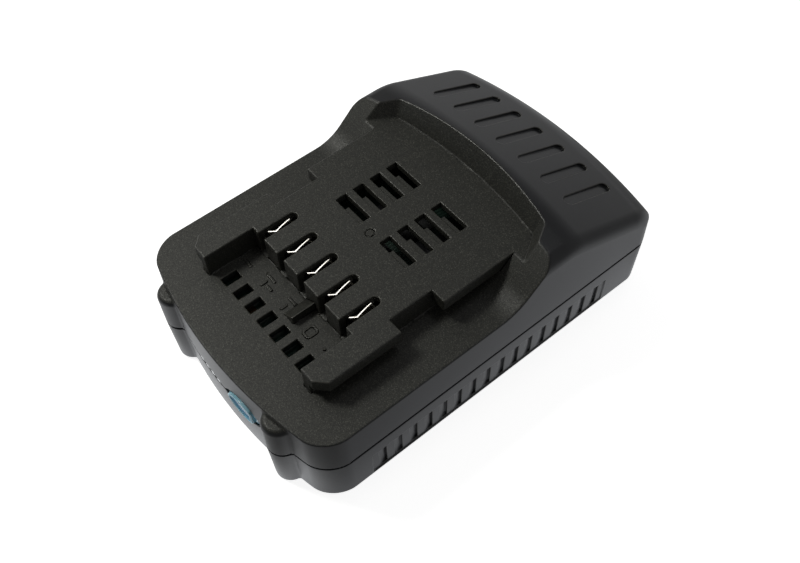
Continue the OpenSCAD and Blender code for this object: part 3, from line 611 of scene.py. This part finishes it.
# A little dirt and painted shade all over the lower half's corners
def lower_dirt_and_shade(x, y, z):
    return np.full_like(x, 0.35)


# One on the button's rim and plate, nought in its dish; where it is one the acrylic gets a paler painted rim light
def button_rim_light(x, y, z):
    return rise(-0.95, -0.65, button_plan(x, y, z)[1])


# Nought all over
def nowhere(x, y, z):
    return np.zeros_like(x)


# Colour of a surface from its hex code
def colour(code):
    c = [int(code[i:i + 2], 16) / 255 for i in (1, 3, 5)]
    return tuple(v / 12.92 if v < 0.04045 else ((v + 0.055) / 1.055) ** 2.4 for v in c) + (1.0,)


# Sets an input to a constant, or links an output to it
def feed(tree, socket, v):
    if isinstance(v, bpy.types.NodeSocket):
        tree.links.new(v, socket)
    else:
        socket.default_value = v


# Adds a node; names in values set inputs, or plain settings of the node, and i0, i1 and so on inputs by number
def add(tree, kind, **values):
    n = tree.nodes.new("ShaderNode" + kind)
    for key, v in values.items():
        if hasattr(n, key):
            setattr(n, key, v)
        elif key[0] == "i" and key[1:].isdigit():
            feed(tree, n.inputs[int(key[1:])], v)
        else:
            feed(tree, n.inputs[key.replace("_", " ")], v)
    return n


# New material with its shader and the place on the object in metres
def start(name):
    m = bpy.data.materials.new(name)
    m.use_nodes = True
    tree = m.node_tree
    tree.nodes.clear()
    shader = add(tree, "BsdfPrincipled")
    feed(tree, add(tree, "OutputMaterial").inputs[0], shader.outputs[0])
    place = add(tree, "TexCoord").outputs["Object"]
    return m, tree, shader, place


# Sets several inputs of a shader
def shade(tree, shader, **values):
    for key, v in values.items():
        feed(tree, shader.inputs[key.replace("_", " ")], v)


# Cloudy pattern whose marks are about that many millimetres across
def clouds(tree, place, size, detail=2.0, rough=0.5):
    return add(tree, "TexNoise", Vector=place, Scale=PER_M / size, Detail=detail, Roughness=rough).outputs[0]


# Part of a pattern, from a to b, stretched to the range from lo to hi
def ranged(tree, value, a, b, lo, hi):
    return add(tree, "MapRange", i0=value, i1=a, i2=b, i3=lo, i4=hi).outputs[0]


# Result of a sum on two numbers
def maths(tree, operation, first, second):
    return add(tree, "Math", operation=operation, i0=first, i1=second).outputs[0]


# Colour between first and second, by factor
def mixed(tree, factor, first, second):
    return add(tree, "Mix", data_type="RGBA", i0=factor, i6=first, i7=second).outputs[2]


# Number between first and second, by factor
def blend(tree, factor, first, second):
    return add(tree, "Mix", data_type="FLOAT", i0=factor, i2=first, i3=second).outputs[0]


# Two colours shared out by part of a pattern
def two_tone(tree, value, a, b, first, second):
    return mixed(tree, ranged(tree, value, a, b, 0.0, 1.0), colour(first), colour(second))


# Normal of a surface that a pattern roughens, with the depth in metres
def bumped(tree, height, depth, strength):
    return add(tree, "Bump", Distance=depth, Strength=strength, Height=height).outputs[0]


# Glass-filled nylon of the case: spark grain on rails and deck, satin elsewhere, polished edges with a painted
# highlight, inner corners darkened by dirt and painted shade
def case_nylon():
    m, tree, shader, place = start("case_nylon")
    grain_and_rim_light = add(tree, "Attribute", attribute_name="grain_and_rim_light").outputs["Fac"]
    edge = add(tree, "Attribute", attribute_name="edge").outputs["Fac"]
    highlight_and_polish = ranged(tree, edge, 0.2, 0.7, 0.0, 1.0)
    corner_dirt_and_shade = ranged(tree, edge, -0.2, -0.6, 0.0, 1.0)
    speck = clouds(tree, place, 0.42, 2.0, 0.7)
    patch = clouds(tree, place, 9.0)
    fine = clouds(tree, place, 0.16, 2.0, 0.6)
    glint_specks = clouds(tree, place, 0.25, 1.0)
    coarse = two_tone(tree, speck, 0.35, 0.65, "#1b1c18", "#2a2a25")
    # sparse light specks on the grain are painted glints
    coarse = mixed(tree, ranged(tree, glint_specks, 0.55, 0.72, 0.0, 0.55), coarse, colour("#686860"))
    smooth = two_tone(tree, patch, 0.3, 0.7, "#141518", "#18191d")
    skin = mixed(tree, grain_and_rim_light, smooth, coarse)
    # convex edges are painted lighter, a painted highlight, and below they are also made smoother as polish
    skin = mixed(tree, ranged(tree, highlight_and_polish, 0.0, 1.0, 0.0, 0.32), skin, colour("#5a5850"))
    rough_grain = ranged(tree, speck, 0.35, 0.68, 0.62, 0.4)
    rough_satin = ranged(tree, fine, 0.3, 0.7, 0.34, 0.4)
    rough = blend(tree, grain_and_rim_light, rough_satin, rough_grain)
    rough = blend(tree, ranged(tree, highlight_and_polish, 0.0, 1.0, 0.0, 0.6), rough, 0.28)
    bump = bumped(tree, speck, 0.00004, ranged(tree, grain_and_rim_light, 0.0, 1.0, 0.03, 1.0))
    micro = add(tree, "Bump", Distance=0.00002, Strength=0.15, Height=fine, Normal=bump).outputs[0]
    # inner corners are painted near black, rougher and duller: dirt and painted shade
    shade(tree, shader, Base_Color=mixed(tree, corner_dirt_and_shade, skin, colour("#060605")),
          Roughness=blend(tree, corner_dirt_and_shade, rough, 0.8), Specular_IOR_Level=blend(tree, corner_dirt_and_shade, 0.5, 0.1),
          Normal=micro, IOR=1.53)
    return m


# Plain moulded or painted surface with a faint mottle and fine bump
def moulded(name, first, second, size, rough, spread, bump=0.1, coat=0.0):
    m, tree, shader, place = start(name)
    patch = clouds(tree, place, size, 3.0)
    fine = clouds(tree, place, size * 0.12)
    shade(tree, shader, Base_Color=two_tone(tree, patch, 0.3, 0.7, first, second),
          Roughness=ranged(tree, fine, 0.3, 0.7, rough - spread, rough + spread),
          Normal=bumped(tree, fine, 0.00002, bump), Coat_Weight=coat, Coat_Roughness=0.1)
    return m


# Metal with fine drawing lines along one axis, which stretch its highlights
def drawn_metal(name, first, second, rough, stretch):
    m, tree, shader, place = start(name)
    lines = add(tree, "Mapping", Vector=place, Scale=stretch).outputs[0]
    hair = clouds(tree, lines, 0.12, 3.0)
    dull = clouds(tree, place, 2.5, 3.0)
    shade(tree, shader, Base_Color=two_tone(tree, dull, 0.3, 0.75, first, second),
          Roughness=ranged(tree, hair, 0.3, 0.7, rough * 0.75, rough * 1.35),
          Normal=bumped(tree, hair, 0.00001, 0.25), Metallic=1.0)
    return m


# Tinted clear plastic, paler at its rim where light gathers
def tinted_clear(name, code, rim_code, rough, pass_through):
    m, tree, shader, place = start(name)
    swirl = clouds(tree, place, 1.6, 3.0)
    rim = add(tree, "Attribute", attribute_name="grain_and_rim_light").outputs["Fac"]
    # the paler rim is painted light
    tint = mixed(tree, rim, colour(code), colour(rim_code))
    pale = ranged(tree, swirl, 0.35, 0.75, 0.0, 0.2)
    shade(tree, shader, Base_Color=mixed(tree, pale, tint, colour("#dff4ff")),
          Roughness=ranged(tree, swirl, 0.3, 0.7, rough * 0.8, rough * 1.3),
          Transmission_Weight=pass_through, IOR=1.49)
    return m


# Glass-fibre laminate under green solder resist, with copper runs showing as a lighter weave
def laminate():
    m, tree, shader, place = start("board_laminate")
    weave = add(tree, "TexWave", Vector=place, Scale=PER_M / 3.2, Distortion=6.0, Detail=2.0).outputs[0]
    patch = clouds(tree, place, 3.0, 3.0)
    runs = maths(tree, "MULTIPLY", weave, patch)
    shade(tree, shader, Base_Color=two_tone(tree, runs, 0.25, 0.32, "#1d2f28", "#33473f"),
          Roughness=ranged(tree, patch, 0.3, 0.7, 0.28, 0.4), Normal=bumped(tree, runs, 0.00003, 0.3))
    return m


# Gives each named node one material all over
def dress(names, material):
    for n in names.split():
        slots = nodes[n].data.materials
        slots.clear()
        slots.append(material)


nylon = case_nylon()
pace = 1.0
upper_shell = shell("upper_shell", upper, (-40, -62, 14.5), (40, 62, 43), 0.3 * pace, 0.2,
                    upper_grain, deck_rim, upper_dirt_and_shade)
lower_shell = shell("lower_shell", lower, (-40, -62, -1), (40, 62, 18), 0.33 * pace, 0.15,
                    nowhere, seam_rim, lower_dirt_and_shade)
button_lens = shell("button_lens", button, (2, -61, 10), (19, -53, 21), 0.15 * pace, 0.4,
                    button_rim_light, nowhere, nowhere)
for piece, node in ((upper_shell, "upper_case"), (lower_shell, "lower_case")):
    piece.data.materials.append(nylon)
    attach(piece, "case")
    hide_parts(node)
button_lens.data.materials.append(tinted_clear("button_acrylic", "#3a93c0", "#a5e0f4", 0.2, 0.2))
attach(button_lens, "button")
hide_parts("gauge_button")

nickel = drawn_metal("contact_nickel", "#e9e6de", "#dad6cb", 0.16, (1.0, 0.06, 1.0))
dress("contact_1 contact_2 contact_3 contact_4 contact_5", nickel)

# Sheared edge along the taller leaf of each contact: a bent strip, as x, y and half width at each bend
LEAF = ((-1.1, -28.9, 0.12), (-0.15, -27.25, 0.13), (-0.6, -25.4, 0.11), (-0.98, -23.3, 0.09), (-1.06, -22.4, 0.06))
# The top of a strip is one plane, whose tilt changes from contact to contact so that all catch the same light
STRIP_Z = 32.9
STRIP_H = 0.5
STRIP_TILT = 0.268
TILT_CHANGE = 0.0226
STRIP_FALL = 0.019
points, faces = [], []
for k in range(CONTACTS):
    from_middle = k - CONTACTS // 2
    tilt = STRIP_TILT - TILT_CHANGE * from_middle
    for x, y, half in LEAF:
        for dx, low in ((-half, STRIP_H), (half, STRIP_H), (half, 0.0), (-half, 0.0)):
            z = STRIP_Z - tilt * (x + dx + 0.6) - STRIP_FALL * (y + 26) - low
            points.append(((SLOT_PITCH * from_middle + x + dx) * MM, y * MM, z * MM))
    first = 4 * len(LEAF) * k
    last = first + 4 * (len(LEAF) - 1)
    faces += [tuple(first + c for c in range(4)), tuple(last + c for c in (3, 2, 1, 0))]
    for s in range(len(LEAF) - 1):
        for c in range(4):
            a, b = first + 4 * s + c, first + 4 * s + (c + 1) % 4
            faces.append((a, a + 4, b + 4, b))
edges = bpy.data.meshes.new("contact_edges")
edges.from_pydata(points, [], faces)
edges.materials.append(nickel)
contact_edges = bpy.data.objects.new("contact_edges", edges)
scene.collection.objects.link(contact_edges)
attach(contact_edges, "case")

# Materials of the other pieces
dress("strips_left strips_right", drawn_metal("strip_nickel", "#c4c2bb", "#aaa79e", 0.3, (1.0, 1.0, 0.06)))
dress("case_screws board_screws", drawn_metal("screw_steel", "#6d6f73", "#55575b", 0.32, (0.1, 1.0, 1.0)))
# light pipe of near-white acrylic; its white also stands in for the paper mirrored in the windows, a painted
# reflection
dress("light_pipe", tinted_clear("clear_acrylic", "#f4f7f8", "#f4f7f8", 0.12, 0.3))
dress("gauge_board control_board", laminate())
dress("gauge_leds", moulded("led_resin", "#f2efe4", "#e6e0cf", 0.6, 0.25, 0.05, 0.05, 0.3))
dress("switch_body control_chip power_transistors",
      moulded("epoxy_black", "#1b1c1e", "#26272a", 0.8, 0.5, 0.08, 0.3))
dress("switch_plunger", moulded("plunger_acetal", "#e6e3dc", "#dad6cd", 1.0, 0.4, 0.05))
dress("gauge_ribbon", moulded("ribbon_polyimide", "#3d2812", "#2e1d0d", 1.5, 0.25, 0.05, 0.1, 0.2))
dress("holder_left holder_right", moulded("holder_polycarbonate", "#1d1e20", "#27282b", 4.0, 0.45, 0.06, 0.2))
dress("cell_1 cell_2 cell_3 cell_4 cell_5",
      moulded("cell_sleeve", "#1f6f86", "#1a6277", 6.0, 0.3, 0.05, 0.1, 0.3))
dress("sheet_left sheet_right", moulded("fibre_paper", "#c9b98f", "#b6a579", 1.2, 0.8, 0.1, 0.6))
dress("thermistor", moulded("sensor_epoxy", "#20262b", "#2c333a", 0.6, 0.3, 0.06, 0.1, 0.2))
dress("terminal_block", moulded("block_polyamide", "#17181a", "#202123", 1.5, 0.5, 0.08, 0.3))

# Studio floor: white paper that keeps a soft shadow; for all but camera rays it is dimmer and glows in uneven
# tones, painted light that the case mirrors. Sizes in metres
FLOOR_HALF = 3.0
FLOOR_Z = -0.0003
FOOT_HALF = (0.03, 0.0505, 0.0)
WHITE = (1.0, 1.0, 1.0, 1.0)
sheet = bpy.data.meshes.new("floor")
sheet.from_pydata([(sx * FLOOR_HALF, sy * FLOOR_HALF, FLOOR_Z) for sx, sy in ((-1, -1), (1, -1), (1, 1), (-1, 1))],
                  [], [(0, 1, 2, 3)])
floor = bpy.data.objects.new("floor", sheet)
scene.collection.objects.link(floor)
paper = bpy.data.materials.new("floor_paper")
paper.use_nodes = True
tree = paper.node_tree
tree.nodes.clear()
seen = add(tree, "LightPath").outputs["Is Camera Ray"]
white = add(tree, "BsdfDiffuse", Color=mixed(tree, seen, (0.4, 0.4, 0.4, 1.0), (0.88, 0.88, 0.88, 1.0)))
place = add(tree, "TexCoord").outputs["Object"]
across, along = add(tree, "SeparateXYZ", Vector=place).outputs[:2]
# how far a place on the paper is from the foot of the case
outside = add(tree, "CombineXYZ", i0=across, i1=along).outputs[0]
outside = add(tree, "VectorMath", operation="ABSOLUTE", i0=outside).outputs[0]
beside = add(tree, "SeparateXYZ", Vector=outside).outputs[0]
outside = add(tree, "VectorMath", operation="SUBTRACT", i0=outside, i1=FOOT_HALF).outputs[0]
outside = add(tree, "VectorMath", operation="MAXIMUM", i0=outside, i1=(0.0, 0.0, 0.0)).outputs[0]
outside = add(tree, "VectorMath", operation="LENGTH", i0=outside).outputs["Value"]
# painted glow beside and before the case, each near it and farther off
close_by = ranged(tree, outside, 0.0085, 0.0165, 1.0, 0.0)
side = blend(tree, close_by, ranged(tree, along, -0.045, 0.07, 0.2, 0.58),
             ranged(tree, along, -0.045, 0.07, 0.58, 1.0))
front = blend(tree, close_by, ranged(tree, across, -0.022, 0.036, 0.7, 0.03),
              ranged(tree, across, 0.024, 0.04, 1.35, 0.45))
away = add(tree, "VectorMath", operation="LENGTH", i0=place).outputs["Value"]
for dim in (ranged(tree, away, 0.12, 0.25, 1.0, 0.3), ranged(tree, beside, 0.02, 0.042, 0.15, 1.0)):
    side = maths(tree, "MULTIPLY", side, dim)
before = ranged(tree, along, -0.045, -0.056, 0.0, 1.0)
glow = blend(tree, seen, blend(tree, before, side, front), 0.85)
lift = add(tree, "Emission", Color=mixed(tree, seen, (0.95, 0.97, 1.0, 1.0), WHITE), Strength=glow)
both = add(tree, "AddShader", i0=white.outputs[0], i1=lift.outputs[0])
add(tree, "OutputMaterial", i0=both.outputs[0])
sheet.materials.append(paper)


# Round lamp that far off in a direction, facing the pack
def softbox(name, way, far, size, power, tint=(1.0, 1.0, 1.0)):
    light = bpy.data.lights.new(name, "AREA")
    light.shape = "DISK"
    light.size = size
    light.energy = power
    light.color = tint
    o = bpy.data.objects.new(name, light)
    z = np.array(way) / np.linalg.norm(way)
    x = np.cross((0, 0, 1), z)
    x /= np.linalg.norm(x)
    y = np.cross(z, x)
    o.matrix_world = Matrix([[x[i], y[i], z[i], z[i] * far] for i in range(3)] + [[0, 0, 0, 1]])
    scene.collection.objects.link(o)


# A small key, a broad lamp, and a lamp overhead that the contacts mirror
softbox("key", (-0.47, -0.33, 0.82), 0.5, 0.11, 0.75, (1.0, 1.0, 0.94))
softbox("lamp", (-0.68, 0.05, 0.73), 1.0, 0.42, 0.58, (1.0, 1.0, 0.93))
softbox("glint", (-0.05, 0.277, 0.959), 1.0, 0.22, 0.3)


# Number that changes smoothly from lo to hi as value goes from a to b
def smooth_range(tree, value, a, b, lo, hi):
    return add(tree, "MapRange", interpolation_type="SMOOTHSTEP", i0=value, i1=a, i2=b, i3=lo, i4=hi).outputs[0]


# How nearly a direction points along another
def toward(tree, way, other):
    return add(tree, "VectorMath", operation="DOT_PRODUCT", i0=way, i1=other).outputs["Value"]


# Surroundings: dim all round, a low glow on the far side and a faint one off the rear right; white for the camera
world = bpy.data.worlds.new("studio")
world.use_nodes = True
scene.world = world
tree = world.node_tree
tree.nodes.clear()
way = add(tree, "TexCoord").outputs["Generated"]
high = add(tree, "SeparateXYZ", Vector=way).outputs[2]
low = smooth_range(tree, high, 0.05, 0.62, 1.0, 0.0)
far = smooth_range(tree, toward(tree, way, (-0.8, 0.6, 0.0)), 0.2, 0.9, 0.0, 0.65)
flank = smooth_range(tree, toward(tree, way, (0.62, 0.7, 0.35)), 0.35, 1.0, 0.0, 0.18)
wall = maths(tree, "ADD", maths(tree, "MULTIPLY", low, far), flank)
glow = add(tree, "Background", Color=WHITE, Strength=maths(tree, "ADD", wall, 0.1))
plain = add(tree, "Background", Color=WHITE, Strength=1.0)
pick = add(tree, "MixShader", i0=add(tree, "LightPath").outputs["Is Camera Ray"],
           i1=glow.outputs[0], i2=plain.outputs[0])
add(tree, "OutputWorld", i0=pick.outputs[0])
scene.view_settings.view_transform = "Standard"

# Camera where the photograph was taken from, with its place in metres
AZ, EL, ROLL = np.radians((53.634, 54.984, -3.29))
SPOT = (0.11717, -0.08829, 0.21349)
back = np.array((np.sin(AZ) * np.cos(EL), -np.cos(AZ) * np.cos(EL), np.sin(EL)))
right = np.array((np.cos(AZ), np.sin(AZ), 0.0))
up = np.cross(back, right)
cam_x = right * np.cos(ROLL) + up * np.sin(ROLL)
cam_y = up * np.cos(ROLL) - right * np.sin(ROLL)
lens = bpy.data.cameras.new("camera")
lens.sensor_fit = "HORIZONTAL"
lens.sensor_width = 36.0
lens.lens = 41.35
lens.clip_start = 0.01
camera = bpy.data.objects.new("camera", lens)
camera.matrix_world = Matrix([[cam_x[i], cam_y[i], back[i], SPOT[i]] for i in range(3)] + [[0, 0, 0, 1]])
scene.collection.objects.link(camera)
scene.camera = camera
